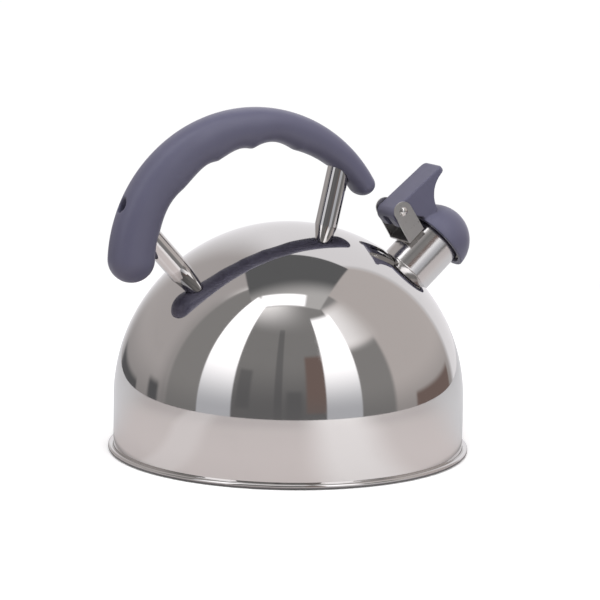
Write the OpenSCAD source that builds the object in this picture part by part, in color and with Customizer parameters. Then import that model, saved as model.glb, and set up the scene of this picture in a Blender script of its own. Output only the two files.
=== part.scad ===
// Whistling kettle for the stove: a hemispherical steel body with a tilted filling and
// pouring spout, a sprung whistle cap with a thumb lever, and an arched moulded grip
// that stands on two tubular posts.
// +X points towards the spout, +Z is up, and the origin is the middle of the base.

/* [Body] */
// Outer radius of the dome and of the wall under it
body_r = 97.5; // [80:0.5:120]
// Height of the dome's centre above the base
wall_h = 29.4; // [24:0.2:40]
// Thickness of the body sheet
shell_t = 0.6; // [0.5:0.1:1]

/* [Base] */
// Thickness of the base pan's sheet
pan_t = 0.6; // [0.5:0.1:0.8]
// Radius of the rolled seam round the base
bead_r = 1.4; // [1.2:0.1:1.8]
// Thickness of the aluminium heat disc
disc_t = 3; // [2:0.5:5]
// Thickness of the steel cover under the heat disc
cover_t = 0.5; // [0.4:0.1:1]
// Gap between the seam and whatever the kettle stands on
seam_lift = 0.3; // [0.2:0.1:0.6]
// How far the heat disc stays inside the body wall
disc_inset = 16; // [12:1:24]

/* [Spout] */
// Outer radius of the spout tube
spout_r = 15.6; // [13:0.2:19]
// Wall of the spout tube
spout_t = 0.8; // [0.6:0.1:1.2]
// Length of the spout tube from where it meets the dome to its mouth
spout_l = 29.2; // [26:0.2:36]
// Height of the spout's axis above the horizon, in degrees
spout_rise = 42.9; // [38:0.5:50]

/* [Whistle cap] */
// Height of the hinge pin above the crest of the spout tube
pin_h = 15.9; // [14:0.2:20]
// Distance from the spout's mouth back to the hinge pin
pin_back = 9; // [8:0.5:12]
// Radius of the hinge pin
pin_r = 1.4; // [1.1:0.05:1.7]
// Running clearance round the hinge pin
pin_clear = 0.05; // [0.03:0.01:0.08]
// Radial gap between the hood's skirt and the spout tube
skirt_gap = 1.9; // [1.5:0.1:2.5]
// Thickness of the hood's skirt
skirt_t = 2.9; // [2.4:0.1:3.6]
// Wall of the hood's dome
hood_t = 2.2; // [1.8:0.1:2.6]
// How far the hood's skirt comes down over the mouth
skirt_drop = 2.3; // [1.2:0.1:3]
// Length of the thumb lever from the hinge pin
lever_l = 35.2; // [30:0.2:42]
// Width of the thumb lever
lever_w = 20.6; // [16:0.2:24]
// Height of the hub's flat top above the hinge pin
lever_top = 3.9; // [3.7:0.1:4.6]

/* [Whistle] */
// Radius of the two whistle holes
whistle_hole_r = 2.2; // [1.5:0.1:3]
// Gap between the two whistle plates
whistle_gap = 3; // [2:0.25:4]
// Thickness of the whistle plates
plate_t = 0.6; // [0.4:0.1:0.8]
// Thickness of the silicone seal on the mouth
seal_t = 1.5; // [1:0.25:2.5]

/* [Handle] */
// Outer radius of the arched grip
grip_r = 83.5; // [69:0.5:101]
// How far the arch's centre stands behind the dome's centre
grip_back = 23.5; // [15:0.5:30]
// How far the arch's centre stands below the top of the dome
grip_drop = 19.2; // [14:0.2:24]
// Width of the grip across the hand
grip_w = 23; // [19:0.5:28]
// Thickness of the grip at the back
grip_t = 25.2; // [22:0.2:28]
// Radius of the two handle posts
post_r = 6.35; // [5.2:0.05:7.2]
// Wall of the handle posts
post_t = 1; // [0.8:0.1:1.5]
// Backward lean of the rear post from upright, in degrees
rear_lean = 41.9; // [36:0.5:46]
// Forward lean of the front post from upright, in degrees
front_lean = 12.8; // [8:0.2:18]
// How far the rear post goes into the grip
rear_entry = 9; // [6:0.5:12]
// How far the front post goes into the grip
front_entry = 6; // [5:0.5:8]

/* [Fasteners] */
// Radius of the handle screws' thread
screw_r = 2; // [1.5:0.1:2.3]
// Radius of the screw heads
head_r = 3.6; // [3.2:0.1:4]
// Height of the screw heads
head_h = 2.6; // [2:0.1:3]
// Radius of the screw recesses in the grip
recess_r = 4; // [3.8:0.1:4.6]

/* [Hidden] */

steel = [0.80, 0.79, 0.78];
satin_steel = [0.66, 0.65, 0.63];
aluminium = [0.78, 0.79, 0.80];
slate_blue = [0.36, 0.36, 0.44];
silicone = [0.86, 0.84, 0.80];
smooth = 96;
fine = 48;
big = 400;

// Body and base, worked out from the driving sizes
inner_r = body_r - shell_t;
bead_z = seam_lift + bead_r;
bead_path_r = body_r + bead_r + 0.2;
flange_low = bead_z - shell_t / 2;
flange_high = bead_z + shell_t / 2;
pan_floor = cover_t + disc_t;
disc_r = inner_r - disc_inset;
step_run = 4;

// Spout frame: Z runs out along the spout from the dome's centre, -X is the spout's top
spout_lean = 90 - spout_rise;
spout_bore = spout_r - spout_t;
dome_at_crest = sqrt(body_r * body_r - spout_r * spout_r);
mouth_u = dome_at_crest + spout_l;
spout_foot_u = sqrt(inner_r * inner_r - spout_r * spout_r) - 1;

// Hinge, in the spout frame
pin_u = mouth_u - pin_back;
pin_v = spout_r + pin_h;
ear_t = 1;
ear_r = pin_r + 4.2;
ear_gap = 0.3;
ear_in = lever_w / 2 + ear_gap;
ear_out = ear_in + ear_t;
plate_low = spout_r - 0.5;
plate_high = spout_r + 0.8;
plate_back = pin_u - 9.1;
plate_front = pin_u + 2.8;
rivet_head_r = pin_r + 1.2;
rivet_head_h = 1.1;
spring_wire = 0.45;
spring_coil_r = pin_r + spring_wire + 0.15;
spring_pitch = 1.3;
spring_slot = 3.4;
spring_from = 184;
spring_to = -855;
spring_steps = 44;

// Side view of the thumb lever and its hub, about the hinge pin
lever_tip_r = 1.7;
hub_r = 5.3;
hub_back = 6.9;
hub_low = 7.5;
hub_step = 0.4;
under_r = 16.8;
slot_top = spring_coil_r + spring_wire + 0.25;
slot_back = spring_coil_r + spring_wire + 0.75;
slot_front = 4.6;

// Hood and whistle, in the spout frame
rim_u = mouth_u - skirt_drop;
hood_u = rim_u - 0.4;
skirt_in = spout_r + skirt_gap;
seat_u = mouth_u + seal_t;
flange_u = seat_u + plate_t;
ledge_u = flange_u + plate_t;
flange_r = skirt_in - 0.1;
cup_r = spout_r - 2.6;
cup_top = flange_u + whistle_gap + plate_t;
ring_w = 0.9;
ring_r = skirt_in + 0.5;
ring_u = seat_u - ring_w;
seal_out = ring_r - ring_w - 0.2;
seal_in = cup_r - 0.5;
hood_r = skirt_in + skirt_t;
hood_in = hood_r - hood_t;

// Handle arch: its centre, its ends and the shape of its underside
arch_x = -grip_back;
arch_z = wall_h + body_r - grip_drop;
rear_end = 177.4;
front_end = 30.5;
arch_step = 3.5;
grip_sides = 20;
end_rings = 5;
inner_base = grip_r - grip_t;
taper_from = 136;
taper_rate = 0.00126;
taper_linear = 70;
// Each finger groove: the ridge behind it, the ridge in front of it, its depth, its skew
grooves = [[163.7, 136, 1.1, 1.35], [136, 112.3, 1.4, 2], [112.3, 91.6, 1.6, 1.5],
    [91.6, 67.5, 3, 0.9]];
section_power = 2.3;
front_width = 0.86;

// Handle fixings, along each post from the dome's centre
seal_h = 1.6;
washer_h = 0.8;
washer_r = 8;
plug_full = 12;
plug_share = 0.4;
thread_free = 3;
web = 4.5;
bore_clear = 0.1;
foot_seat = sqrt(inner_r * inner_r - washer_r * washer_r) - seal_h;

// Distance from the dome's centre along a post to the circle of radius r about the arch
function reach(lean, r) =
    let (dx = sin(lean), dz = cos(lean))
    let (cx = arch_x, cz = arch_z - wall_h)
    let (along = cx * dx + cz * dz)
    along + sqrt(along * along - cx * cx - cz * cz + r * r);
// Angle about the arch's centre of the point at distance t along a post
function arch_angle(lean, t) =
    atan2(wall_h + t * cos(lean) - arch_z, t * sin(lean) - arch_x);
// Underside of the grip, as a radius about the arch's centre
function skewed(f, q) = sin(180 * pow(f, q));
function groove(a, g) = a < g[0] && a > g[1] ? g[2] * skewed((g[0] - a) / (g[0] - g[1]), g[3]) : 0;
function taper(x) = x < taper_linear ? taper_rate * x * x
    : taper_rate * taper_linear * (2 * x - taper_linear);
function under(a) = inner_base + taper(max(0, taper_from - a))
    + groove(a, grooves[0]) + groove(a, grooves[1]) + groove(a, grooves[2]) + groove(a, grooves[3]);
function mid_r(a) = (grip_r + under(a)) / 2;
function half_t(a) = (grip_r - under(a)) / 2;
function half_w(a) = grip_w / 2 * (a > 90 ? 1 : front_width + (1 - front_width) * sin(a));

rear_in = reach(-rear_lean, under(arch_angle(-rear_lean, reach(-rear_lean, grip_r - grip_t / 2))));
front_in = reach(front_lean, under(arch_angle(front_lean, reach(front_lean, grip_r - 8))));
rear_top = rear_in + rear_entry;
front_top = front_in + front_entry;
// A plug is cut short where a post has no room for one at each end
plug_h = min(plug_full, plug_share * (min(rear_top, front_top) - body_r));
plug_end = thread_free * plug_h / plug_full;

// Places what is modelled along +Z from the dome's centre at a lean from upright
module from_dome(lean) {
    translate([0, 0, wall_h]) rotate([0, lean, 0]) children();
}

module ring(r_out, r_in, low, high) {
    difference() {
        translate([0, 0, low]) cylinder(r = r_out, h = high - low, $fn = smooth);
        translate([0, 0, low - 1]) cylinder(r = r_in, h = high - low + 2, $fn = smooth);
    }
}

// ---------- body and base ----------

// Outline of a dome of radius r standing on a wall, from the axis to the foot of the wall
module dome_outline(r, foot) {
    intersection() {
        translate([0, wall_h]) circle(r = r, $fn = smooth);
        translate([0, wall_h]) square([big, big]);
    }
    translate([0, foot]) square([r, wall_h - foot]);
}

// Spun and drawn body with an outward flange at its foot, a spout hole and two post holes
module body_shell() {
    color(steel) difference() {
        union() {
            rotate_extrude($fn = smooth) difference() {
                dome_outline(body_r, flange_low);
                dome_outline(inner_r, flange_low - 1);
            }
            ring(bead_path_r, inner_r, flange_low, flange_high);
        }
        from_dome(spout_lean) translate([0, 0, body_r / 2]) cylinder(r = spout_r, h = body_r, $fn = fine);
        for (lean = [-rear_lean, front_lean])
            from_dome(lean) translate([0, 0, body_r / 2]) cylinder(r = screw_r, h = body_r, $fn = fine);
    }
}

// Pressed pan whose edge is rolled over the body's flange into a round seam
module base_pan() {
    color(steel) rotate_extrude($fn = smooth) difference() {
        union() {
            polygon([
                [0, pan_floor],
                [disc_r + 1, pan_floor],
                [disc_r + 1 + step_run, flange_low - pan_t],
                [bead_path_r, flange_low - pan_t],
                [bead_path_r, flange_low],
                [disc_r + 1 + pan_t + step_run, flange_low],
                [disc_r + 1 + pan_t, pan_floor + pan_t],
                [0, pan_floor + pan_t]]);
            intersection() {
                translate([bead_path_r, bead_z]) circle(r = bead_r, $fn = fine);
                translate([bead_path_r, 0]) square([big, big]);
            }
            translate([body_r, bead_z - bead_r]) square([bead_path_r - body_r, 2 * bead_r]);
        }
        translate([body_r, flange_low]) square([bead_path_r - body_r, shell_t]);
    }
}

// Aluminium plate bonded under the pan to spread the heat
module heat_disc() {
    chamfer = 0.6;
    color(aluminium) rotate_extrude($fn = smooth) polygon([
        [0, cover_t],
        [disc_r - cover_t - chamfer, cover_t],
        [disc_r - cover_t, cover_t + chamfer],
        [disc_r - cover_t, pan_floor],
        [0, pan_floor]]);
}

// Steel cap pressed over the heat disc, the face the kettle stands on
module base_cover() {
    chamfer = 0.6;
    color(satin_steel) rotate_extrude($fn = smooth) polygon([
        [0, 0],
        [disc_r - chamfer, 0],
        [disc_r, chamfer],
        [disc_r, pan_floor],
        [disc_r - cover_t, pan_floor],
        [disc_r - cover_t, cover_t + chamfer],
        [disc_r - cover_t - chamfer, cover_t],
        [0, cover_t]]);
}

// ---------- spout ----------

// Straight tube welded into the dome
module spout_tube() {
    color(steel) from_dome(spout_lean) ring(spout_r, spout_bore, spout_foot_u, mouth_u);
}

// Outline of an ear, drawn with x along the spout and y above its axis
module ear_outline() {
    front = [plate_front, plate_low];
    back = [plate_back, plate_low];
    pin = [pin_u, pin_v];
    polygon([back, front, touch(front, pin, 1), pin, touch(back, pin, -1)]);
    translate(pin) circle(r = ear_r, $fn = fine);
}

// Where the line from p touches the ear's round top, on the side given
function touch(p, c, side) =
    let (d = c - p, l = norm(d), a = atan2(d[1], d[0]), k = asin(ear_r / l))
    p + sqrt(l * l - ear_r * ear_r) * [cos(a - side * k), sin(a - side * k)];

// Turns an outline drawn along and above the spout into a slab between two widths
module across(low, high) {
    from_dome(spout_lean) rotate([0, -90, 0]) rotate([90, 0, 0]) translate([0, 0, -high])
        linear_extrude(height = high - low) children();
}

// Folded saddle spot-welded on the tube's crest, with an ear each side of the lever
module spout_bracket() {
    color(satin_steel) difference() {
        union() {
            across(ear_in, ear_out) ear_outline();
            across(-ear_out, -ear_in) ear_outline();
            across(-ear_out, ear_out) translate([plate_back, plate_low])
                square([plate_front - plate_back, plate_high - plate_low]);
        }
        from_dome(spout_lean) cylinder(r = spout_r, h = big, $fn = fine);
        hinge_bore(pin_r);
    }
}

module hinge_bore(r) {
    from_dome(spout_lean) translate([-pin_v, 0, pin_u]) rotate([90, 0, 0])
        cylinder(r = r, h = big, center = true, $fn = fine);
}

// Rivet through both ears, with a domed head and a domed upset end
module hinge_rivet() {
    dome = (rivet_head_r * rivet_head_r + rivet_head_h * rivet_head_h) / (2 * rivet_head_h);
    color(satin_steel) from_dome(spout_lean) translate([-pin_v, 0, pin_u]) rotate([90, 0, 0]) {
        rotate_extrude($fn = fine) {
            translate([0, -ear_out]) square([pin_r, 2 * ear_out]);
            for (side = [0, 1]) mirror([0, side]) intersection() {
                translate([0, ear_out + rivet_head_h - dome]) circle(r = dome, $fn = fine);
                translate([0, ear_out]) square([rivet_head_r, rivet_head_h]);
            }
        }
    }
}

// Turns of the torsion spring about the pin, drawn with x along the spout and y above it
function spring_turn(i) =
    let (a = spring_from + (spring_to - spring_from) * i / spring_steps)
    let (z = spring_pitch * (a - (spring_from + spring_to) / 2) / 360)
    [spring_coil_r * cos(a), spring_coil_r * sin(a), z];

module tube_along(path, r, sides) {
    last = len(path) - 1;
    points = [for (i = [0 : last])
        let (ahead = path[min(i + 1, last)] - path[max(i - 1, 0)])
        let (t = ahead / norm(ahead))
        let (side = cross(t, [0, 0, 1]) / norm(cross(t, [0, 0, 1])))
        let (up = cross(side, t))
        for (k = [0 : sides - 1])
            path[i] + r * (cos(360 * k / sides) * side + sin(360 * k / sides) * up)];
    skin(points, sides, last + 1);
}

// Closes a stack of rings of points into one solid
module skin(points, sides, rings) {
    walls = [for (i = [0 : rings - 2]) for (k = [0 : sides - 1])
        let (a = i * sides + k, b = i * sides + (k + 1) % sides)
        each [[a, a + sides, b], [b, a + sides, b + sides]]];
    first = [[for (k = [0 : sides - 1]) k]];
    end = [[for (k = [sides - 1 : -1 : 0]) (rings - 1) * sides + k]];
    polyhedron(points = points, faces = concat(first, walls, end), convexity = 6);
}

// Torsion spring on the hinge pin: one leg stands on the saddle, the other lifts the hub's top
module return_spring() {
    turns = [for (i = [0 : spring_steps]) spring_turn(i)];
    foot = plate_high + spring_wire + 0.02 - pin_v;
    leg = [[-5.2, foot, turns[0][2] + 0.3], [-spring_coil_r - 0.25, -3.5, turns[0][2] + 0.1]];
    rest_y = hub_step - spring_wire - 0.02;
    arm = [[-spring_coil_r - 0.6, rest_y - 0.25, turns[spring_steps][2] - 0.1],
        [1 - hub_back, rest_y, turns[spring_steps][2] - 0.2]];
    color(satin_steel) at_pin() tube_along(concat(leg, turns, arm), spring_wire, 8);
}

// Places what is drawn with x along the spout, y above it and z across it, at the hinge pin
module at_pin() {
    from_dome(spout_lean) translate([-pin_v, 0, pin_u]) rotate([0, -90, 0]) rotate([90, 0, 0]) children();
}

// ---------- whistle cap ----------

// Side view of the thumb lever and its hub, about the hinge pin
module lever_outline() {
    hub = [hub_r - hub_back, lever_top - hub_r];
    tip = [lever_l - lever_tip_r, 0.1];
    arm_x = rim_u + 0.8 - pin_u;
    bottom = skirt_in - 1.5 - pin_v;
    difference() {
        union() {
            polygon([
                [hub[0], lever_top],
                [tip[0], tip[1] + lever_tip_r],
                [tip[0], bottom],
                [arm_x, bottom],
                [arm_x, bottom + 3.5],
                [arm_x - 3.5, -hub_low],
                [-hub_back + 1.5, -hub_low],
                [-hub_back, 1.5 - hub_low],
                [-hub_back, hub[1]]]);
            translate(hub) circle(r = hub_r, $fn = fine);
        }
        translate([tip[0] - 0.2, tip[1] - lever_tip_r - under_r]) circle(r = under_r, $fn = fine);
        translate([tip[0] - 0.2, -big]) square([big, big + tip[1] - lever_tip_r]);
    }
    translate(tip) circle(r = lever_tip_r, $fn = fine);
}

// Everything that the hood's moulding leaves hollow, as a solid of revolution
module hood_hollow() {
    low = rim_u - 1;
    rotate_extrude($fn = smooth) {
        translate([0, low]) square([skirt_in, ledge_u - low]);
        translate([0, ring_u]) square([ring_r, ring_w]);
        intersection() {
            translate([0, hood_u]) circle(r = hood_in, $fn = smooth);
            translate([0, ledge_u - 1]) square([spout_r, big]);
        }
    }
}

// Moulded hood over the spout's mouth, in one piece with its hub and thumb lever
module whistle_cap() {
    slots = 3;
    slot_w = 2.2;
    slot_l = 10;
    slot_pitch = 4.4;
    color(slate_blue) difference() {
        union() {
            from_dome(spout_lean) rotate_extrude($fn = smooth) intersection() {
                translate([0, hood_u]) circle(r = hood_r, $fn = smooth);
                translate([0, rim_u]) square([big, big]);
            }
            at_pin() translate([0, 0, -lever_w / 2]) linear_extrude(height = lever_w) lever_outline();
        }
        from_dome(spout_lean) hood_hollow();
        from_dome(spout_lean) for (i = [0 : slots - 1])
            translate([2.4 + slot_pitch * i, -slot_l / 2, cup_top]) cube([slot_w, slot_l, big]);
        hinge_bore(pin_r + pin_clear);
        at_pin() translate([0, 0, -spring_slot]) linear_extrude(height = 2 * spring_slot) {
            translate([-slot_back, -big]) square([slot_back + slot_front, big + slot_top]);
            translate([-big, -big]) square([big, big + hub_step]);
        }
    }
}

// Upper whistle plate, pressed into a shallow cup with a flange
module whistle_top_plate() {
    color(steel) from_dome(spout_lean) rotate_extrude($fn = smooth) polygon([
        [flange_r, flange_u],
        [flange_r, ledge_u],
        [cup_r, ledge_u],
        [cup_r, cup_top],
        [whistle_hole_r, cup_top],
        [whistle_hole_r, cup_top - plate_t],
        [cup_r - plate_t, cup_top - plate_t],
        [cup_r - plate_t, flange_u]]);
}

// Lower whistle plate, a disc with the first of the two holes
module whistle_base_plate() {
    color(steel) from_dome(spout_lean) ring(flange_r, whistle_hole_r, seat_u, flange_u);
}

// Silicone ring that closes on the spout's mouth
module whistle_seal() {
    color(silicone) from_dome(spout_lean) ring(seal_out, seal_in, mouth_u, seat_u);
}

// Split wire ring snapped into the hood's groove to hold the whistle in
module whistle_snap_ring() {
    gap = 4;
    color(satin_steel) from_dome(spout_lean) difference() {
        ring(ring_r, ring_r - ring_w, ring_u, seat_u);
        translate([0, -gap / 2, ring_u - 1]) cube([big, gap, ring_w + 2]);
    }
}

// ---------- handle ----------

// One ring of the grip's skin: angle on the arch, how far round the blunt end, shrink
function signed(v, p) = sign(v) * pow(abs(v), p);
function grip_ring(a, past, shrink) = [for (k = [0 : grip_sides - 1])
    let (f = 360 * k / grip_sides)
    let (r = mid_r(a) + shrink * half_t(a) * signed(sin(f), 2 / section_power))
    [arch_x + r * cos(a) - past * sin(a),
        shrink * half_w(a) * signed(cos(f), 2 / section_power),
        arch_z + r * sin(a) + past * cos(a)]];

// Arched grip, moulded in one piece, with a thin blunt front end and finger grooves beneath
module grip_body() {
    steps = round((rear_end - front_end) / arch_step);
    round_up = [for (i = [end_rings : -1 : 1]) 88 * i / end_rings];
    back = [for (f = round_up) each grip_ring(rear_end, half_t(rear_end) * sin(f), cos(f))];
    arch = [for (i = [0 : steps])
        each grip_ring(rear_end + (front_end - rear_end) * i / steps, 0, 1)];
    tip = [for (i = [1 : end_rings]) let (f = 88 * i / end_rings)
        each grip_ring(front_end, -half_t(front_end) * sin(f), cos(f))];
    skin(concat(back, arch, tip), grip_sides, steps + 1 + 2 * end_rings);
}

module handle_grip() {
    color(slate_blue) difference() {
        grip_body();
        for (post = [[-rear_lean, rear_top], [front_lean, front_top]]) from_dome(post[0]) {
            translate([0, 0, body_r]) cylinder(r = post_r + bore_clear, h = post[1] - body_r, $fn = fine);
            translate([0, 0, body_r]) cylinder(r = screw_r + bore_clear, h = body_r, $fn = fine);
            translate([0, 0, post[1] + web]) cylinder(r = recess_r, h = body_r, $fn = fine);
        }
    }
}

// A ring whose foot is cut to stand on the outside of the dome
module on_shell(r_out, r_in, top) {
    rotate_extrude($fn = fine) difference() {
        translate([r_in, body_r / 2]) square([r_out - r_in, top - body_r / 2]);
        circle(r = body_r, $fn = big);
    }
}

// Tube from the dome to the grip
module post(lean, top) {
    color(steel) from_dome(lean) on_shell(post_r, post_r - post_t, top);
}

module rear_post() {
    post(-rear_lean, rear_top);
}

module front_post() {
    post(front_lean, front_top);
}

// Threaded steel plug brazed into the top of a post
module head_plug(lean, top) {
    color(satin_steel) from_dome(lean) ring(post_r - post_t, screw_r, top - plug_h, top);
}

module rear_head_plug() {
    head_plug(-rear_lean, rear_top);
}

module front_head_plug() {
    head_plug(front_lean, front_top);
}

// Threaded steel plug brazed into the foot of a post
module foot_plug(lean) {
    color(satin_steel) from_dome(lean) on_shell(post_r - post_t, screw_r, body_r + plug_h);
}

module rear_foot_plug() {
    foot_plug(-rear_lean);
}

module front_foot_plug() {
    foot_plug(front_lean);
}

// Pan-head screw with a cross recess, its head's seat at zero and its shank along -Z
module screw(shank) {
    slot = 0.7;
    difference() {
        rotate_extrude($fn = fine) polygon([
            [0, -shank],
            [screw_r - 0.4, -shank],
            [screw_r, 0.4 - shank],
            [screw_r, 0],
            [head_r, 0],
            [head_r, head_h - 0.8],
            [head_r - 0.8, head_h],
            [0, head_h]]);
        for (turn = [0, 90]) rotate([0, 0, turn])
            translate([-2.1, -slot / 2, head_h - 1.3]) cube([4.2, slot, 2]);
    }
}

// Screws that hold the grip on the posts, deep in its recesses
module grip_screws() {
    color(satin_steel) for (post = [[-rear_lean, rear_top], [front_lean, front_top]])
        from_dome(post[0]) translate([0, 0, post[1] + web + washer_h]) screw(web + washer_h + plug_h - plug_end);
}

module grip_washers() {
    color(satin_steel) for (post = [[-rear_lean, rear_top], [front_lean, front_top]])
        from_dome(post[0]) ring(recess_r - 0.2, screw_r, post[1] + web, post[1] + web + washer_h);
}

// Screws from inside the kettle that hold the posts on the dome
module foot_screws() {
    color(satin_steel) for (lean = [-rear_lean, front_lean])
        from_dome(lean) translate([0, 0, foot_seat - washer_h]) rotate([180, 0, 0])
            screw(body_r + plug_h - plug_end - foot_seat + washer_h);
}

// Silicone washers that keep the post holes watertight, domed to the shell's inside
module foot_seals() {
    color(silicone) for (lean = [-rear_lean, front_lean])
        from_dome(lean) rotate_extrude($fn = fine) intersection() {
            translate([screw_r, foot_seat]) square([washer_r - screw_r, body_r - foot_seat]);
            circle(r = inner_r, $fn = big);
        }
}

module foot_washers() {
    color(satin_steel) for (lean = [-rear_lean, front_lean])
        from_dome(lean) ring(washer_r, screw_r, foot_seat - washer_h, foot_seat);
}

body_shell();
base_pan();
heat_disc();
base_cover();
spout_tube();
spout_bracket();
hinge_rivet();
return_spring();
whistle_cap();
whistle_top_plate();
whistle_base_plate();
whistle_seal();
whistle_snap_ring();
handle_grip();
rear_post();
front_post();
rear_head_plug();
front_head_plug();
rear_foot_plug();
front_foot_plug();
grip_screws();
grip_washers();
foot_screws();
foot_seals();
foot_washers();
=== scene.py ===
import math

import bmesh
import bpy
import numpy as np
from mathutils import Matrix, Vector


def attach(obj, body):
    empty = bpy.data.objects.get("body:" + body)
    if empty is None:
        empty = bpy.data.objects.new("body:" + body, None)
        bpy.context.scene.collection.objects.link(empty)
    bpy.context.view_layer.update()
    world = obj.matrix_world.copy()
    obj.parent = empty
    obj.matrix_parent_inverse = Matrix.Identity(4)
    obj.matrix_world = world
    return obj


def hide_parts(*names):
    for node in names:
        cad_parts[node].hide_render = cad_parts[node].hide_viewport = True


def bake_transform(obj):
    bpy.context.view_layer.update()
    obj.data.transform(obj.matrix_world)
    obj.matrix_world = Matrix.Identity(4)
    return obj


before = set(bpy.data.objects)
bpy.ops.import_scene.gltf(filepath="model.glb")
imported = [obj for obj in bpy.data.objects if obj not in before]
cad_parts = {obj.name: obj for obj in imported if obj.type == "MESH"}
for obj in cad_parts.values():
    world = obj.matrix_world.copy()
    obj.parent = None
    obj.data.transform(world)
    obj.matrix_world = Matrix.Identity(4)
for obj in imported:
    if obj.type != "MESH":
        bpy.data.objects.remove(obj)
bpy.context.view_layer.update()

# ---------- Body shell ----------
# The kettle's body is one steel sheet, drawn to a short wall and spun to a dome, then buffed to a
# mirror on the lathe. The spout's hole and the two post holes are pierced afterwards, and the foot
# of the wall is flared into a narrow flange that the base pan is rolled over.

mm = 0.001
body_r = 97.5 * mm
wall_h = 29.4 * mm
sheet = 0.6 * mm
flange_z = 1.7 * mm
flange_r = 99.1 * mm
flare_r = 1.1 * mm
spout_rise = math.radians(42.9)
rear_lean = math.radians(-41.9)
front_lean = math.radians(12.8)
spout_r = 15.6 * mm
screw_r = 2.0 * mm
dome_centre = Vector((0, 0, wall_h))
mirror_tint = (0.66, 0.645, 0.635, 1)


def seat(lean):
    """Turns what is made along +Z to stand on the dome's centre at a lean from upright."""
    return Matrix.Translation(dome_centre) @ Matrix.Rotation(lean, 4, "Y")


def arc(centre, radius, start, end, steps):
    """Points of an arc in an outline, from one angle to another in degrees."""
    turn = np.radians(np.linspace(start, end, steps + 1))
    return [(centre[0] + radius * math.cos(t), centre[1] + radius * math.sin(t)) for t in turn]


def eased(corners, steps=5):
    """An outline whose corners (x, y, radius) are rounded, as an edge is eased before buffing."""
    points = []
    for i, (x, y, radius) in enumerate(corners):
        here = Vector((x, y))
        before = Vector(corners[i - 1][:2]) - here
        after = Vector(corners[(i + 1) % len(corners)][:2]) - here
        if radius == 0:
            points.append((x, y))
            continue
        half = before.angle(after) / 2
        run = min(radius / math.tan(half), 0.49 * before.length, 0.49 * after.length)
        radius = run * math.tan(half)
        a, b = here + before.normalized() * run, here + after.normalized() * run
        bisector = (before.normalized() + after.normalized()).normalized()
        middle = here + bisector * radius / math.sin(half)
        for k in range(steps + 1):
            spoke = (a - middle).normalized().slerp((b - middle).normalized(), k / steps)
            points.append(tuple(middle + spoke * radius))
    return points


def new_piece(name, mesh):
    """An object for a mesh, in the scene and smooth all over."""
    piece = bpy.data.objects.new(name, mesh)
    bpy.context.scene.collection.objects.link(piece)
    mesh.polygons.foreach_set("use_smooth", [True] * len(mesh.polygons))
    return piece


def settle(piece):
    """Makes the result of a piece's modifiers its own mesh."""
    evaluated = piece.evaluated_get(bpy.context.evaluated_depsgraph_get())
    mesh = bpy.data.meshes.new_from_object(evaluated)
    piece.modifiers.clear()
    piece.data = mesh
    return piece


def spun(name, outline, where, turns=160, crease=35):
    """A closed outline (radius, height) turned about +Z and put in place, with crisp edges kept."""
    mesh = bpy.data.meshes.new(name)
    work = bmesh.new()
    rings = []
    for radius, height in outline:
        if radius < 1e-7:
            rings.append([work.verts.new((0, 0, height))] * turns)
            continue
        around = [math.tau * k / turns for k in range(turns)]
        ring = [(radius * math.cos(t), radius * math.sin(t), height) for t in around]
        rings.append([work.verts.new(point) for point in ring])
    for i, ring in enumerate(rings):
        above = rings[(i + 1) % len(rings)]
        if ring[0] is ring[1] and above[0] is above[1]:
            continue
        for k in range(turns):
            corners = [ring[k], ring[(k + 1) % turns], above[(k + 1) % turns], above[k]]
            work.faces.new(list(dict.fromkeys(corners)))
    bmesh.ops.recalc_face_normals(work, faces=work.faces)
    work.transform(where)
    work.to_mesh(mesh)
    work.free()
    piece = new_piece(name, mesh)
    mesh.set_sharp_from_angle(angle=math.radians(crease))
    even = piece.modifiers.new("even shading", "WEIGHTED_NORMAL")
    even.keep_sharp = True
    return piece


def pierce(piece, cutters):
    """Cuts holes through a piece, as a punch or a drill does."""
    for cutter in cutters:
        cut = piece.modifiers.new("hole", "BOOLEAN")
        cut.operation = "DIFFERENCE"
        cut.solver = "EXACT"
        cut.object = cutter
    settle(piece)
    for cutter in cutters:
        bpy.data.objects.remove(cutter)
    return piece


def punch(radius, lean, low, high, turns=96):
    """A round punch that stands on the dome's centre at a lean."""
    outline = [(0, low), (radius, low), (radius, high), (0, high)]
    return spun("punch", outline, seat(lean), turns)


class Wire:
    """An output in a node tree. Sums, differences and products of wires add Math nodes."""

    def __init__(self, finish, socket):
        self.finish = finish
        self.socket = socket

    def maths(self, operation, first, second=0.0):
        return self.finish.node("Math", {"operation": operation}, {0: first, 1: second})

    def __add__(self, other):
        return self.maths("ADD", self, other)

    def __radd__(self, other):
        return self.maths("ADD", other, self)

    def __sub__(self, other):
        return self.maths("SUBTRACT", self, other)

    def __rsub__(self, other):
        return self.maths("SUBTRACT", other, self)

    def __mul__(self, other):
        return self.maths("MULTIPLY", self, other)

    def __rmul__(self, other):
        return self.maths("MULTIPLY", other, self)


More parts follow.
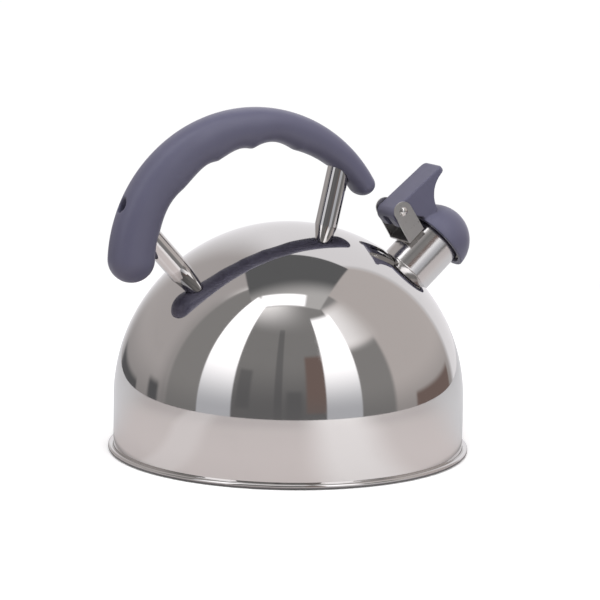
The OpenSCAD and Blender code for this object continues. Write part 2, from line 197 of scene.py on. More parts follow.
class Finish:
    """A node tree under construction: a metal's polish, a moulding's grain or the room's light."""

    def __init__(self, tree):
        self.tree = tree
        tree.nodes.clear()

    def node(self, kind, settings=None, inputs=None, output=0):
        """Adds a node of a type, sets it up, fills or links its sockets, and returns one output."""
        made = self.tree.nodes.new("ShaderNode" + kind)
        for name, value in (settings or {}).items():
            setattr(made, name, value)
        for key, value in (inputs or {}).items():
            if isinstance(value, Wire):
                self.tree.links.new(value.socket, made.inputs[key])
            else:
                made.inputs[key].default_value = value
        return Wire(self, made.outputs[output]) if made.outputs else None

    def vector(self, operation, *inputs):
        """A number worked out from vectors: a length, a distance or a dot product."""
        return self.node("VectorMath", {"operation": operation}, dict(enumerate(inputs)), "Value")

    def place(self):
        """The place on the piece, in metres in the kettle's own frame."""
        return self.node("TexCoord", output="Object")

    def blotches(self, where, size, detail=2.0, roughness=0.5):
        """Soft cloudy noise from 0 to 1 whose blotches are about this size."""
        values = {"Vector": where, "Scale": 1 / size, "Detail": detail, "Roughness": roughness}
        return self.node("TexNoise", None, values)

    def between(self, value, low, high, start=0.0, end=1.0):
        """Start below low, end above high, and a smooth change on the way."""
        values = {"Value": value, 1: low, 2: high, 3: start, 4: end}
        return self.node("MapRange", {"interpolation_type": "SMOOTHSTEP"}, values)

    def blend(self, share, first, second):
        """First colour where share is 0, second where it is 1."""
        values = {"Factor": share, 6: first, 7: second}
        return self.node("Mix", {"data_type": "RGBA"}, values, output=2)

    def bump(self, height, depth, under=None):
        """Raised where height is 1, by depth in metres, over an earlier bump."""
        values = {"Height": height, "Distance": depth, "Strength": 1.0}
        if under:
            values["Normal"] = under
        return self.node("Bump", None, values)

    def surface(self, colour, roughness, relief, **others):
        """Ends the tree in a Principled shader."""
        values = {"Base Color": colour, "Roughness": roughness, "Normal": relief}
        values |= {name.replace("_", " "): value for name, value in others.items()}
        shader = self.node("BsdfPrincipled", None, values)
        self.node("OutputMaterial", None, {"Surface": shader})


def new_finish(name):
    """A fresh material and its node tree."""
    material = bpy.data.materials.new(name)
    material.use_nodes = True
    return material, Finish(material.node_tree)


def darker(tint, share):
    return tuple(share * c for c in tint[:3]) + (1,)


def polished_steel(name, turn_axis, along, blur=0.028):
    """Mirror-buffed stainless steel, with faint buffing lines round the axis it was turned on."""
    material, finish = new_finish(name)
    place = finish.place()
    axis = tuple(Vector(turn_axis).normalized())
    from_centre = finish.node("VectorMath", {"operation": "SUBTRACT"}, {0: place, 1: along})
    height = finish.vector("DOT_PRODUCT", from_centre, axis)
    away = finish.vector("LENGTH", from_centre)
    line_place = finish.node("CombineXYZ", None, {0: height, 1: away * 0.7})
    lines = finish.blotches(line_place, 0.16 * mm, 3.0, 0.6)
    ripple = finish.blotches(place, 34 * mm, 1.0, 0.4)
    smudge = finish.between(finish.blotches(place, 21 * mm, 4.0, 0.62), 0.53, 0.74)
    drawn_out = {"Vector": place, "Rotation": (0.5, 0.8, 0.3), "Scale": (9, 1, 1)}
    scuff_place = finish.node("Mapping", None, drawn_out)
    scuffs = finish.between(finish.blotches(scuff_place, 7 * mm, 5.0, 0.75), 0.66, 0.70)
    roughness = blur + lines * 0.02 + smudge * 0.035 + scuffs * 0.03
    colour = finish.blend(smudge * 0.5, mirror_tint, darker(mirror_tint, 0.96))
    relief = finish.bump(ripple, 0.016 * mm)
    relief = finish.bump(lines + scuffs * 0.4, 0.00012 * mm, relief)
    finish.surface(colour, roughness, relief, Metallic=1.0)
    return material


dome_rows = 88
outer = [(flange_r, flange_z - sheet / 2), (flange_r, flange_z + sheet / 2)]
outer += arc((body_r + flare_r, flange_z + sheet / 2 + flare_r), flare_r, -90, -180, 8)
outer += [(body_r, flange_z + 0.25 * k * (wall_h - flange_z)) for k in (1, 2, 3)]
outer += arc((0, wall_h), body_r, 0, 90, dome_rows)
outer[-1] = (0, wall_h + body_r)
inner = arc((0, wall_h), body_r - sheet, 90, 0, dome_rows)
inner[0] = (0, wall_h + body_r - sheet)
inner += [(body_r - sheet, flange_z - 0.8 * sheet)]
body = spun("body_dome", outer + inner, Matrix.Identity(4), turns=256, crease=50)
body.modifiers.clear()
spout_lean = math.pi / 2 - spout_rise
punch_from = body_r / 2
punch_to = body_r + 5 * mm
holes = [punch(spout_r, spout_lean, punch_from, punch_to)]
holes += [punch(screw_r, lean, punch_from, punch_to, 48) for lean in (rear_lean, front_lean)]
pierce(body, holes)


def true_dome_normals(piece, centre, radius, thickness):
    """Gives a pierced dome the normals of a true sphere, so that it mirrors cleanly."""
    mesh = piece.data
    normals = []
    for face in mesh.polygons:
        for index in face.vertices:
            point = mesh.vertices[index].co
            spoke = point - centre
            level = Vector((spoke.x, spoke.y, max(spoke.z, 0)))
            true = level.normalized() * (1 if level.length > radius - thickness / 2 else -1)
            normals.append(true if true.dot(face.normal) > 0.97 else mesh.vertices[index].normal)
    mesh.normals_split_custom_set([tuple(n) for n in normals])


true_dome_normals(body, dome_centre, body_r, sheet)
body.data.materials.clear()
body.data.materials.append(polished_steel("buffed_steel_body", (0, 0, 1), (0, 0, wall_h)))
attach(body, "kettle")
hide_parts("body_shell")

# ---------- Spout ----------
# A straight steel tube, its mouth faced and eased so that it pours cleanly. Its foot is welded
# round the dome's hole and the weld is dressed to a small smooth fillet and buffed with the body.

spout_l = 29.2 * mm
spout_wall = 0.8 * mm
weld_r = 1.3 * mm
press_fit = 0.02 * mm
crest = math.sqrt(body_r ** 2 - spout_r ** 2)
mouth = crest + spout_l
foot = math.sqrt((body_r - sheet) ** 2 - spout_r ** 2) - 1 * mm


def weld_fillet(tube_r, ball_r, radius, steps=10):
    """The hollow of a fillet between a ball and a tube that stands on it, from ball to tube."""
    x = tube_r + radius
    y = math.sqrt((ball_r + radius) ** 2 - x ** 2)
    start = math.degrees(math.atan2(-y, -x))
    return arc((x, y), radius, start, -180, steps)


lip = 0.35 * mm
fillet = weld_fillet(spout_r, body_r, weld_r)
tube = [(spout_r - spout_wall, foot), (spout_r - press_fit, foot)]
tube += [(spout_r - press_fit, crest - 0.8 * mm)]
tube += fillet
tube += arc((spout_r - lip, mouth - lip), lip, 0, 90, 5)
tube += arc((spout_r - spout_wall + lip, mouth - lip), lip, 90, 180, 5)
spout = spun("spout_tube_welded", tube, seat(spout_lean), turns=192, crease=50)
spout_axis = (math.cos(spout_rise), 0, math.sin(spout_rise))
spout_steel = polished_steel("buffed_steel_spout", spout_axis, tuple(dome_centre), blur=0.15)
spout.data.materials.append(spout_steel)
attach(spout, "kettle")
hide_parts("spout_tube")

# ---------- Spout bracket ----------
# A blanked strip of satin steel, folded into a saddle with two ears and spot-welded on the crest
# of the spout. The ears carry the rivet that the whistle cap turns on. Its edges are tumbled.

edge_ease = 0.18 * mm


def tumbled(name, node, radius, segments=3):
    """A copy of a CAD solid whose edges are rounded, as tumbling leaves a pressed part."""
    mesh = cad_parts[node].data.copy()
    work = bmesh.new()
    work.from_mesh(mesh)
    bmesh.ops.remove_doubles(work, verts=work.verts, dist=0.002 * mm)
    bmesh.ops.dissolve_limit(work, angle_limit=math.radians(1), verts=work.verts, edges=work.edges)
    work.to_mesh(mesh)
    work.free()
    piece = new_piece(name, mesh)
    soften = piece.modifiers.new("tumbled edges", "BEVEL")
    soften.width = radius
    soften.segments = segments
    soften.limit_method = "ANGLE"
    soften.angle_limit = math.radians(40)
    soften.use_clamp_overlap = True
    piece.modifiers.new("even shading", "WEIGHTED_NORMAL")
    return piece


def satin_steel(name, grain, tint=(0.56, 0.55, 0.535, 1), rough=0.30):
    """Stainless steel with a satin grain that runs along a direction."""
    material, finish = new_finish(name)
    place = finish.place()
    along = Vector(grain).normalized()
    side = along.orthogonal().normalized()
    up = along.cross(side)
    line_l = 3.5 * mm
    line_w = 0.09 * mm
    axes = [(along, 1 / line_l), (side, 1 / line_w), (up, 1 / line_w)]
    parts = [finish.vector("DOT_PRODUCT", place, tuple(way)) * pitch for way, pitch in axes]
    grain_place = finish.node("CombineXYZ", None, {0: parts[0], 1: parts[1], 2: parts[2]})
    lines = finish.blotches(grain_place, 1.0, 2.0, 0.6)
    cloud = finish.blotches(place, 5 * mm, 3.0, 0.6)
    rub = finish.between(finish.blotches(place, 1.6 * mm, 4.0, 0.7), 0.56, 0.70)
    roughness = rough - 0.05 + lines * 0.05 + cloud * 0.04 - rub * 0.03
    colour = finish.blend(lines * 0.6 + cloud * 0.3, darker(tint, 0.9), tint)
    relief = finish.bump(lines, 0.0015 * mm)
    finish.surface(colour, roughness, relief, Metallic=1.0)
    return material


bracket = tumbled("spout_bracket_folded", "spout_bracket", edge_ease)
bracket.data.materials.clear()
up_the_ears = (-math.sin(spout_rise), 0, math.cos(spout_rise))
bracket.data.materials.append(satin_steel("satin_steel_bracket", up_the_ears))
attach(bracket, "kettle")
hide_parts("spout_bracket")

# ---------- Base pan ----------
# A pressed steel pan that closes the body from below. Its edge is rolled up round the body's
# flange into a smooth bead, and the kettle's bright foot line is that bead.

bead_r = 1.4 * mm
pan = 0.6 * mm
pan_floor = 3.5 * mm
pan_flat_r = 81.9 * mm
step_run = 4 * mm
flange_low = flange_z - sheet / 2
flange_top = flange_z + sheet / 2
under = [(0, pan_floor, 0), (pan_flat_r, pan_floor, 2 * mm)]
under += [(pan_flat_r + step_run, flange_low - pan, 2 * mm)]
under += [(body_r + 0.4 * mm, flange_low - pan, 0)]
bead = arc((flange_r, flange_z), bead_r, -100, 100, 22)
over = [(body_r + 0.25 * mm, flange_z + bead_r - 0.3 * mm, 0), (body_r + 0.25 * mm, flange_top, 0)]
over += [(flange_r + 0.1 * mm, flange_top, 0), (flange_r + 0.1 * mm, flange_low, 0)]
over += [(pan_flat_r + pan + step_run, flange_low, 2 * mm)]
over += [(pan_flat_r + pan, pan_floor + pan, 2 * mm), (0, pan_floor + pan, 0)]
pan_outline = eased(under) + bead + eased(over)
base = spun("base_pan_seamed", pan_outline, Matrix.Identity(4), turns=256, crease=50)
base.data.materials.append(polished_steel("buffed_steel_pan", (0, 0, 1), (0, 0, 0)))
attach(base, "kettle")
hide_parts("base_pan")

# ---------- Heat disc and base cover ----------
# An aluminium plate bonded under the pan spreads the heat, and a thin satin steel cover is pressed
# over it. The cover is the face that the kettle stands on, and cooking marks it in rings.

cover_t = 0.5 * mm
cover_r = 80.9 * mm
cover = [(0, 0, 0), (cover_r, 0, 0.9 * mm), (cover_r, pan_floor, 0.1 * mm)]
disc_r = cover_r - cover_t
cover += [(disc_r, pan_floor, 0.1 * mm), (disc_r, cover_t, 0.5 * mm), (0, cover_t, 0)]
foot_cover = spun("base_cover_pressed", eased(cover), Matrix.Identity(4), turns=192)
disc = [(0, cover_t, 0), (disc_r, cover_t, 0.7 * mm)]
disc += [(disc_r, pan_floor, 0.1 * mm), (0, pan_floor, 0)]
spreader = spun("heat_disc_plate", eased(disc), Matrix.Identity(4), turns=128)


def turned_face(name, tint, rough):
    """Metal faced on a lathe: fine rings round +Z, with darker rings that heat has left."""
    material, finish = new_finish(name)
    place = finish.place()
    flat = finish.node("VectorMath", {"operation": "MULTIPLY"}, {0: place, 1: (1, 1, 0)})
    radius = finish.vector("LENGTH", flat)
    ring_place = finish.node("CombineXYZ", None, {0: radius})
    rings = finish.blotches(ring_place, 0.35 * mm, 3.0, 0.7)
    bands = finish.blotches(ring_place, 11 * mm, 2.0, 0.5)
    cloud = finish.between(finish.blotches(place, 18 * mm, 5.0, 0.6), 0.45, 0.75)
    roughness = rough + rings * 0.10 + cloud * 0.12
    stained = tuple(c * k for c, k in zip(tint[:3], (0.84, 0.78, 0.68))) + (1,)
    colour = finish.blend(cloud * 0.5 + finish.between(bands, 0.5, 0.7) * 0.25, tint, stained)
    relief = finish.bump(rings, 0.004 * mm)
    finish.surface(colour, roughness, relief, Metallic=1.0)
    return material


foot_cover.data.materials.append(turned_face("satin_steel_cover", (0.60, 0.59, 0.57, 1), 0.24))
spreader.data.materials.append(turned_face("rolled_aluminium", (0.78, 0.79, 0.80, 1), 0.35))
covered = ((foot_cover, "base_cover", "satin_steel"), (spreader, "heat_disc", "spreader_aluminium"))
for piece, node, slot in covered:
    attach(piece, "kettle")
    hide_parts(node)

# ---------- Handle posts, plugs and foot fixings ----------
# Two lengths of buffed half-inch steel tube stand square on the dome. A threaded plug is brazed in
# each end. A screw from inside the kettle pulls each foot down, over a washer and a silicone seal.

post_r = 6.35 * mm
post_wall = 1 * mm
grip_centre = Vector((-23.5 * mm, 0, 107.7 * mm))
grip_r = 83.5 * mm
grip_t = 25.2 * mm
grip_w = 23 * mm
rear_entry = 9 * mm
front_entry = 6 * mm
taper_from = 136
taper_curve = 70
taper_rate = 0.00126
grooves = (
    (163.7, 136, 1.1, 1.35),
    (136, 112.3, 1.4, 2),
    (112.3, 91.6, 1.6, 1.5),
    (91.6, 67.5, 3, 0.9),
)


def grip_under(angle):
    """Radius of the grip's underside about the arch's centre: tapered forwards, with grooves.
    A groove is where it starts and ends in degrees, its depth in mm, and its lean."""
    past = max(0.0, taper_from - angle)
    curved = min(past, taper_curve)
    depth = taper_rate * (curved ** 2 + 2 * taper_curve * (past - curved))
    for start, end, deep, skew in grooves:
        if end < angle < start:
            depth += deep * math.sin(math.pi * ((start - angle) / (start - end)) ** skew)
    return grip_r - grip_t + depth * mm


def reach(lean, radius):
    """Distance along a post from the dome's centre to a circle about the arch's centre."""
    way = Vector((math.sin(lean), 0, math.cos(lean)))
    offset = grip_centre - dome_centre
    along = offset.dot(way)
    return along + math.sqrt(along ** 2 - offset.length_squared + radius ** 2)


def arch_angle(lean, distance):
    """Angle about the arch's centre, in degrees, of a point along a post."""
    point = dome_centre + distance * Vector((math.sin(lean), 0, math.cos(lean))) - grip_centre
    return math.degrees(math.atan2(point.z, point.x))


def post_top(lean, entry, guess):
    return reach(lean, grip_under(arch_angle(lean, reach(lean, guess)))) + entry


posts = {
    "rear": (rear_lean, post_top(rear_lean, rear_entry, grip_r - grip_t / 2)),
    "front": (front_lean, post_top(front_lean, front_entry, grip_r - 8 * mm)),
}


def on_dome(radius):
    return math.sqrt(body_r ** 2 - radius ** 2)


for end, (lean, top) in posts.items():
    bore = post_r - post_wall
    tube = [(bore, on_dome(bore), 0), (post_r, on_dome(post_r), 0)]
    tube += [(post_r, top, 0.3 * mm), (bore, top, 0.2 * mm)]
    post = spun(end + "_post_tube", eased(tube), seat(lean), turns=96)
    way = (math.sin(lean), 0, math.cos(lean))
    post_steel = polished_steel("buffed_steel_" + end + "_post", way, tuple(dome_centre))
    post.data.materials.append(post_steel)
    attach(post, "kettle")
    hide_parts(end + "_post")


def repaint(nodes, material):
    """Gives CAD solids that keep their shape their finish."""
    for node in nodes:
        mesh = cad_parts[node].data
        mesh.materials.clear()
        mesh.materials.append(material)


def silicone(name, tint):
    """Moulded silicone: milky, soft-edged in its gloss, with a bloom of fine dust."""
    material, finish = new_finish(name)
    place = finish.place()
    bloom = finish.blotches(place, 3 * mm, 4.0, 0.6)
    fine = finish.blotches(place, 0.2 * mm, 2.0, 0.5)
    colour = finish.blend(bloom * 0.5, tint, darker(tint, 0.86))
    relief = finish.bump(fine, 0.003 * mm)
    finish.surface(colour, 0.38 + bloom * 0.2, relief, IOR=1.41)
    return material


plug_steel = satin_steel("satin_steel_plugs", (0, 0, 1), rough=0.34)
screw_steel = satin_steel("satin_steel_screws", (0, 1, 0), (0.56, 0.55, 0.53, 1), 0.30)
repaint(["rear_head_plug", "front_head_plug", "rear_foot_plug", "front_foot_plug"], plug_steel)
repaint(["foot_screws", "foot_washers"], screw_steel)
repaint(["foot_seals"], silicone("silicone_foot_seals", (0.74, 0.72, 0.67, 1)))

# ---------- Grip ----------
# One thick moulding in soft-touch thermoplastic, dark blue-grey. It arches over the dome with four
# finger grooves beneath, and is bored for the posts and recessed for a screw at each of them.

rear_end = 177.4
front_end = 30.5
section_power = 2.3
front_width = 0.86
web = 4.5 * mm
recess_r = 4 * mm
grip_voxel = 0.55 * mm


def bulge(value):
    """A superellipse's share along one axis, which keeps the section round but full."""
    return math.copysign(abs(value) ** (2 / section_power), value)


def grip_section(angle, past, shrink, sides):
    """One closed ring of the grip's skin, at an angle on the arch or past a blunt end."""
    turn = math.radians(angle)
    out = Vector((math.cos(turn), 0, math.sin(turn)))
    ahead = Vector((-math.sin(turn), 0, math.cos(turn)))
    middle = (grip_r + grip_under(angle)) / 2
    half_t = (grip_r - grip_under(angle)) / 2
    half_w = grip_w / 2 * (1 if angle > 90 else front_width + (1 - front_width) * math.sin(turn))
    ring = []
    for k in range(sides):
        f = math.tau * k / sides
        point = grip_centre + out * (middle + shrink * half_t * bulge(math.sin(f)))
        point += ahead * past * half_t
        point.y = shrink * half_w * bulge(math.cos(f))
        ring.append(point)
    return ring


def skinned(name, rings):
    """A closed skin over a stack of rings of points."""
    mesh = bpy.data.meshes.new(name)
    work = bmesh.new()
    loops = [[work.verts.new(p) for p in ring] for ring in rings]
    sides = len(rings[0])
    for low, high in zip(loops, loops[1:]):
        for k in range(sides):
            work.faces.new([low[k], low[(k + 1) % sides], high[(k + 1) % sides], high[k]])
    work.faces.new(loops[0])
    work.faces.new(loops[-1])
    bmesh.ops.recalc_face_normals(work, faces=work.faces)
    work.to_mesh(mesh)
    work.free()
    return new_piece(name, mesh)


def moulded(piece, voxel, rounds):
    """Turns a sharp-edged solid into a moulding: an even skin whose edges and hollows are soft."""
    even = piece.modifiers.new("even skin", "REMESH")
    even.mode = "VOXEL"
    even.voxel_size = voxel
    settle(piece)
    soft = piece.modifiers.new("soft edges", "SMOOTH")
    soft.factor = 0.5
    soft.iterations = rounds
    settle(piece)
    piece.data.polygons.foreach_set("use_smooth", [True] * len(piece.data.polygons))
    return piece


grip_sides = 72
blunt = [math.radians(88 * k / 14) for k in range(14, 0, -1)]
rings = [grip_section(rear_end, math.sin(f), math.cos(f), grip_sides) for f in blunt]
rings += [grip_section(a, 0, 1, grip_sides) for a in np.linspace(rear_end, front_end, 190)]
rings += [grip_section(front_end, -math.sin(f), math.cos(f), grip_sides) for f in reversed(blunt)]
grip = skinned("handle_grip_moulding", rings)
drill_play = 0.1 * mm
bores = []
for lean, top in posts.values():
    past_grip = top + 60 * mm
    steps = [(0, body_r), (post_r + drill_play, body_r), (post_r + drill_play, top)]
    steps += [(screw_r + drill_play, top), (screw_r + drill_play, top + web), (recess_r, top + web)]
    steps += [(recess_r, past_grip), (0, past_grip)]
    bores.append(spun("drill", steps, seat(lean), turns=64))
pierce(grip, bores)
moulded(grip, grip_voxel, 6)


def slate_plastic(name, rub_centre, rub_reach):
    """Soft-touch moulding: fine spark-eroded grain, rubbed a little glossier where it is held."""
    material, finish = new_finish(name)
    place = finish.place()
    grain = finish.blotches(place, 0.32 * mm, 2.0, 0.55)
    flow = finish.blotches(place, 16 * mm, 3.0, 0.55)
    dust = finish.between(finish.blotches(place, 1.1 * mm, 3.0, 0.6), 0.63, 0.78)
    away = finish.vector("DISTANCE", place, rub_centre)
    held = finish.between(away, rub_reach * 0.4, rub_reach, 1.0, 0.0)
    rubbed = held * finish.between(flow, 0.35, 0.65)
    deep = (0.100, 0.099, 0.152, 1)
    pale = (0.122, 0.121, 0.182, 1)
    colour = finish.blend(flow * 0.7 + dust * 0.5, deep, pale)
    roughness = 0.37 + grain * 0.10 + dust * 0.06 - rubbed * 0.06
    relief = finish.bump(flow, 0.02 * mm)
    relief = finish.bump(grain, 0.011 * mm, relief)
    sheen_tint = (0.75, 0.74, 0.9, 1)
    soft_touch = {"IOR": 1.5, "Sheen_Weight": 0.12, "Sheen_Roughness": 0.4, "Sheen_Tint": sheen_tint}
    finish.surface(colour, roughness, relief, **soft_touch)
    return material


grip_top = tuple(grip_centre + Vector((0, 0, grip_r)))
grip.data.materials.append(slate_plastic("slate_plastic_grip", grip_top, 75 * mm))
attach(grip, "kettle")
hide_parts("handle_grip")
repaint(["grip_screws", "grip_washers"], screw_steel)

# ---------- Whistle cap ----------
# Hood, hub and thumb lever are one moulding in the same dark plastic as the grip. The hood closes
# over the spout's mouth and holds the whistle, and three slots in its crown let the steam out.

cap_voxel = 0.36 * mm
lever_l = 35.2 * mm
lever_w = 20.6 * mm
tip_corner = 4.2 * mm
pin_out = mouth - 9 * mm
pin_up = spout_r + 15.9 * mm
at_pin = seat(spout_lean) @ Matrix.Translation((-pin_up, 0, pin_out))
at_pin = at_pin @ Matrix.Rotation(-math.pi / 2, 4, "Y") @ Matrix.Rotation(math.pi / 2, 4, "X")
cap = new_piece("whistle_cap_moulding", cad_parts["whistle_cap"].data.copy())
moulded(cap, cap_voxel, 5)


def round_lever_tip(piece):
    """Draws in the two corners of the lever's tip, seen from above, to a thumb's roundness."""
    to_pin = at_pin.inverted()
    start = lever_l - tip_corner
    for vertex in piece.data.vertices:
        point = to_pin @ vertex.co
        past = min(max(point.x - start, 0.0), tip_corner)
        if past > 0:
            drawn_in = tip_corner - math.sqrt(tip_corner ** 2 - past ** 2)
            point.z *= 1 - drawn_in / (lever_w / 2)
            vertex.co = at_pin @ point


round_lever_tip(cap)
cap.data.materials.clear()
lever_tip = tuple(at_pin @ Vector((lever_l, 0, 0)))
cap.data.materials.append(slate_plastic("slate_plastic_cap", lever_tip, 26 * mm))
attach(cap, "cap")
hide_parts("whistle_cap")

# ---------- Whistle ----------
# Two pressed steel plates, each with a hole, and a silicone ring that shuts on the spout's mouth.
# A split wire ring snaps into the hood's groove and holds the stack.

plate_steel = satin_steel("satin_steel_whistle", (0, 1, 0), (0.64, 0.63, 0.61, 1), 0.20)
repaint(["whistle_top_plate", "whistle_base_plate", "whistle_snap_ring"], plate_steel)
repaint(["whistle_seal"], silicone("silicone_whistle_seal", (0.70, 0.68, 0.63, 1)))

# ---------- Hinge rivet and return spring ----------
# A semi-tubular steel rivet goes through both ears and the hub, with a domed head on each side. On
# it sits a torsion spring of hard wire: one leg stands on the saddle, the other lifts the hub.

pin_r = 1.4 * mm
ear_out = 11.6 * mm
rivet_r = pin_r + 1.2 * mm
rivet_h = 1.1 * mm
ball = (rivet_r ** 2 + rivet_h ** 2) / (2 * rivet_h)
cap_angle = math.degrees(math.asin(rivet_r / ball))
head = arc((0, ear_out + rivet_h - ball), ball, 90 - cap_angle, 90, 12)
head[-1] = (0, ear_out + rivet_h)
half_rivet = [(pin_r, ear_out), (rivet_r - 0.01 * mm, ear_out)] + head
rivet_outline = [(r, -h) for r, h in reversed(half_rivet)] + half_rivet
rivet = spun("hinge_rivet_headed", rivet_outline, at_pin, turns=64)
rivet_steel = satin_steel("satin_steel_rivet", (1, 0, 0), (0.74, 0.73, 0.71, 1), 0.18)
rivet.data.materials.append(rivet_steel)
wire_r = 0.45 * mm
coil_r = pin_r + wire_r + 0.15 * mm
coil_from = 184
coil_to = -855
coil_pitch = 1.3 * mm
wire_gap = 0.02 * mm
coil = []
for a in np.linspace(coil_from, coil_to, 150):
    turn = math.radians(a)
    along = coil_pitch * (a - (coil_from + coil_to) / 2) / 360
    coil.append(Vector((coil_r * math.cos(turn), coil_r * math.sin(turn), along)))
saddle_t = 0.8 * mm
saddle_y = spout_r + saddle_t + wire_r + wire_gap - pin_up
leg = [Vector((-5.2 * mm, saddle_y, coil[0].z + 0.3 * mm))]
leg += [Vector((-coil_r - 0.25 * mm, -3.5 * mm, coil[0].z + 0.1 * mm))]
hub_roof = 0.4 * mm - wire_r - wire_gap
arm = [Vector((-coil_r - 0.6 * mm, hub_roof - 0.25 * mm, coil[-1].z - 0.1 * mm))]
arm += [Vector((-5.9 * mm, hub_roof, coil[-1].z - 0.2 * mm))]


def wire_tube(name, path, radius, sides=14):
    """Round wire bent along a path."""
    rings = []
    for i, point in enumerate(path):
        way = (path[min(i + 1, len(path) - 1)] - path[max(i - 1, 0)]).normalized()
        side = way.cross(Vector((0, 0, 1))).normalized()
        up = side.cross(way)
        around = [math.tau * k / sides for k in range(sides)]
        spokes = [side * math.cos(t) + up * math.sin(t) for t in around]
        rings.append([at_pin @ (point + radius * spoke) for spoke in spokes])
    return skinned(name, rings)


spring = wire_tube("return_spring_wire", leg + coil + arm, wire_r)
spring_steel = satin_steel("bright_spring_wire", (0, 1, 0), (0.58, 0.57, 0.55, 1), 0.22)
spring.data.materials.append(spring_steel)
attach(rivet, "kettle")
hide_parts("hinge_rivet")
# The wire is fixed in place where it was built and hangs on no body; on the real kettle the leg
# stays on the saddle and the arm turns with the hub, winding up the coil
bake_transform(spring)
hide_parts("return_spring")

# ---------- Studio ----------
# A pale round table in a plain room. Two tall soft strips stand left and right of the open side, a
# soft panel hangs overhead and the room between them is dim. The wall behind the kettle is pale.
# Bearings are in degrees from the open side, positive to the right, and heights from the horizon.

open_side = math.radians(-115.4)
table_r = 0.62
table_outline = [(0, -0.02), (table_r, -0.02), (table_r, 0), (0, 0)]
table = spun("table", table_outline, Matrix.Identity(4), turns=128)
table_paint, paint = new_finish("pale_table")


def rises(value, low, high):
    """0 below low, 1 above high."""
    return value.finish.between(value, low, high)


def falls(value, low, high):
    """1 below low, 0 above high."""
    return value.finish.between(value, low, high, 1.0, 0.0)


spot = paint.place()
wash = paint.blotches(spot, 0.25, 2.0, 0.5)
spot_x = paint.node("SeparateXYZ", None, {0: spot}, "X")
spot_y = paint.node("SeparateXYZ", None, {0: spot}, "Y")
swing = (spot_x.maths("ARCTAN2", spot_y, spot_x) - open_side) * math.degrees(1)
out = paint.vector("LENGTH", spot)
# Painted light: the table is made lighter in two bands under the tall strips, where their light
# falls on it
painted_strip_light = rises(swing, 4, 24) * falls(swing, 34, 58)
painted_strip_light = painted_strip_light + rises(swing, -66, -58) * falls(swing, -48, -38) * 0.4
behind = rises(swing, 78, 118) * falls(swing, 235, 275)
tone = paint.blend(wash, (0.67, 0.625, 0.622, 1), (0.69, 0.645, 0.64, 1))
tone = paint.blend(rises(out, 0.12, 0.40), tone, (0.54, 0.51, 0.51, 1))
tone = paint.blend(behind, tone, (0.66, 0.67, 0.69, 1))
# Painted light: the strips' light laid into the table's colour
tone = paint.blend(painted_strip_light, tone, (0.86, 0.845, 0.85, 1))
# Painted shadow: a dark ring round the kettle's foot, where the base shades the table
tone = paint.blend(falls(out, 0.100, 0.112) * 0.8, tone, (0.10, 0.10, 0.105, 1))
mirrored = paint.node("BsdfPrincipled", None, {"Base Color": tone, "Roughness": 0.9})
white = (1, 1, 1, 1)
bright = {"Base Color": white, "Roughness": 1.0, "Emission Color": white, "Emission Strength": 0.12}
seen = paint.node("BsdfPrincipled", None, bright)
direct = paint.node("LightPath", output="Is Camera Ray")
both = paint.node("MixShader", None, {0: direct, 1: mirrored, 2: seen})
paint.node("OutputMaterial", None, {"Surface": both})
table.data.materials.append(table_paint)

world = bpy.data.worlds.new("studio")
bpy.context.scene.world = world
world.use_nodes = True
studio = Finish(world.node_tree)
way = studio.node("TexCoord", output="Generated")
ahead = studio.vector("DOT_PRODUCT", way, (math.cos(open_side), math.sin(open_side), 0))
aside = studio.vector("DOT_PRODUCT", way, (-math.sin(open_side), math.cos(open_side), 0))
up = studio.node("SeparateXYZ", None, {0: way}, "Z")
bearing_turn = ahead.maths("ARCTAN2", aside, ahead)
height_turn = up.maths("ARCSINE", up)
bearing = bearing_turn * math.degrees(1)
height = height_turn * math.degrees(1)
slant = height.maths("DIVIDE", 1, height.maths("TANGENT", height_turn))
towards = slant * bearing.maths("COSINE", bearing_turn)
rightwards = slant * bearing.maths("SINE", bearing_turn)


def window(value, low, high, soft):
    """1 between two limits and 0 outside them, with soft edges."""
    return rises(value, low - soft, low + soft) * falls(value, high - soft, high + soft)


def patch(left, right, low, high, soft):
    """A soft-edged upright patch of the room, between two bearings and two heights."""
    return window(bearing, left, right, soft) * window(height, low, high, soft)


room = (0.272, 0.266, 0.264, 1)
low_room = (0.165, 0.163, 0.166, 1)
shade = (0.30, 0.292, 0.288, 1)
dark_thing = (0.12, 0.12, 0.125, 1)
brown_thing = (0.21, 0.155, 0.14, 1)
left_wall = (0.515, 0.485, 0.48, 1)
right_wall = (0.61, 0.565, 0.55, 1)
back_wall = (0.94, 0.925, 0.95, 1)
haze = (1.55, 1.52, 1.52, 1)
spill = (1.18, 1.16, 1.17, 1)
ceiling = studio.blend(
    rises(towards + 0.2 * rightwards, -0.06, 0.21),
    (0.142, 0.144, 0.148, 1),
    (0.60, 0.59, 0.585, 1),
)
lamp = studio.blend(rises(height, 0, 36), (0.56, 0.57, 0.605, 1), (1.85, 1.84, 1.88, 1))

pillar = patch(-9, -4, -10, 54, 0.8)
furniture = patch(-1, 9, -10, 14, 2) + patch(-34, -25, 2, 26, 1.5)
glow = rises(height, 50, 74) * studio.between(bearing, -52, 30, 1.0, 0.04)
beside = rises(bearing, 44, 46) * falls(bearing, 46, 84)
floor_things = patch(-150, -118, -10, -1, 1.5) + patch(-104, -94, -10, 4, 2)
overhead = window(towards, -0.49, 0.34, 0.012) * window(rightwards, -0.385, 0.6, 0.012)
overhead = overhead * falls(rightwards + 0.2 * towards, 0.378, 0.402)
strips = window(bearing, -61, -37, 0.7) * window(height, -10, 71, 1)
strips = strips + window(bearing, 25, 49, 0.7) * window(height, -10, 60, 2)
panel = window(towards, 0.165, 0.325, 0.014) * window(rightwards, -0.27, 0.155, 0.02)

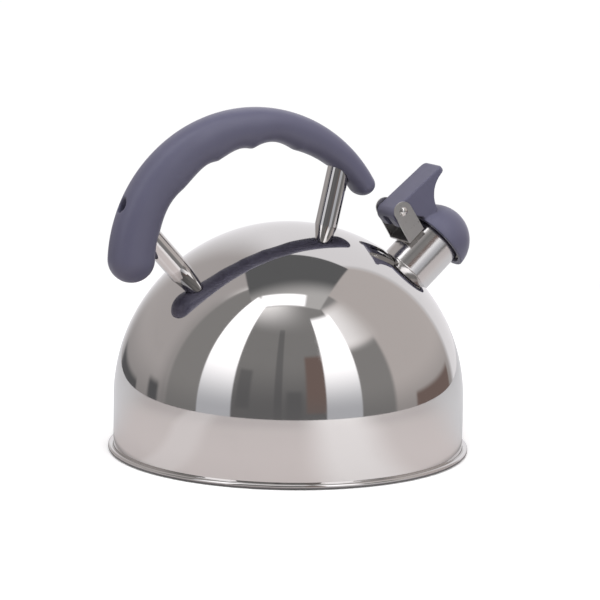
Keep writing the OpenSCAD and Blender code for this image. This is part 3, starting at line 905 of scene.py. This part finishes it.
sky = room
for share, colour in (
    (falls(height, 2, 34), low_room),
    ((pillar + furniture) * 0.6, dark_thing),
    (patch(12, 26, 0, 36, 1.5), brown_thing),
    (glow, haze),
    (window(bearing, -88, -56, 1.5), shade),
    (patch(44, 75, -10, 38, 2.5), shade),
    (window(bearing, -168, -86, 14) * falls(bearing, -88, -84), left_wall),
    (window(bearing, 74, 138, 2), right_wall),
    (window(bearing, 46, 76, 3) * window(height, 37, 64, 2), right_wall),
    (beside * window(height, 37, 63, 4), spill),
    (studio.between(height, -6, 14, 0.5, 0.0), low_room),
    (floor_things, dark_thing),
    (patch(92, 131, -10, 2, 1.5), brown_thing),
    (rises(bearing, 134, 141) + falls(bearing, -174, -144), back_wall),
    (overhead * rises(height, 30, 40), ceiling),
    (strips + panel * rises(height, 60, 64), lamp),
):
    sky = studio.blend(share, sky, colour)
mirrored = studio.node("Background", None, {"Color": sky, "Strength": 1.0})
seen = studio.node("Background", None, {"Color": white, "Strength": 1.02})
direct = studio.node("LightPath", output="Is Camera Ray")
both = studio.node("MixShader", None, {0: direct, 1: mirrored, 2: seen})
studio.node("OutputWorld", None, {"Surface": both})

aimed_at = Vector((0, 0, 0.12))
for name, size, energy, stand in (
    ("overhead_softbox", 1.3, 16, (-0.25, -0.35, 1.5)),
    ("right_fill", 0.5, 1.3, (0.42, -0.80, 0.30)),
):
    light = bpy.data.lights.new(name, "AREA")
    light.shape = "DISK"
    light.size = size
    light.energy = energy
    softbox = bpy.data.objects.new(name, light)
    softbox.location = stand
    softbox.rotation_euler = (aimed_at - softbox.location).to_track_quat("-Z", "Y").to_euler()
    softbox.visible_glossy = False
    bpy.context.scene.collection.objects.link(softbox)

# ---------- Camera ----------
# A long lens a little above the table, with the spout to the right and turned towards the lens.

camera_data = bpy.data.cameras.new("camera")
camera_data.lens = 140.48
camera_data.sensor_width = 36
camera = bpy.data.objects.new("camera", camera_data)
bpy.context.scene.collection.objects.link(camera)
to_right = Vector((0.904530, -0.426123, 0.015603))
to_top = Vector((0.056449, 0.155934, 0.986153))
backwards = to_right.cross(to_top)
camera.matrix_world = Matrix.Translation((-0.544397, -1.160861, 0.298218)) @ Matrix(
    (to_right, to_top, backwards)).transposed().to_4x4()
bpy.context.scene.camera = camera
bpy.context.scene.view_settings.view_transform = "Standard"
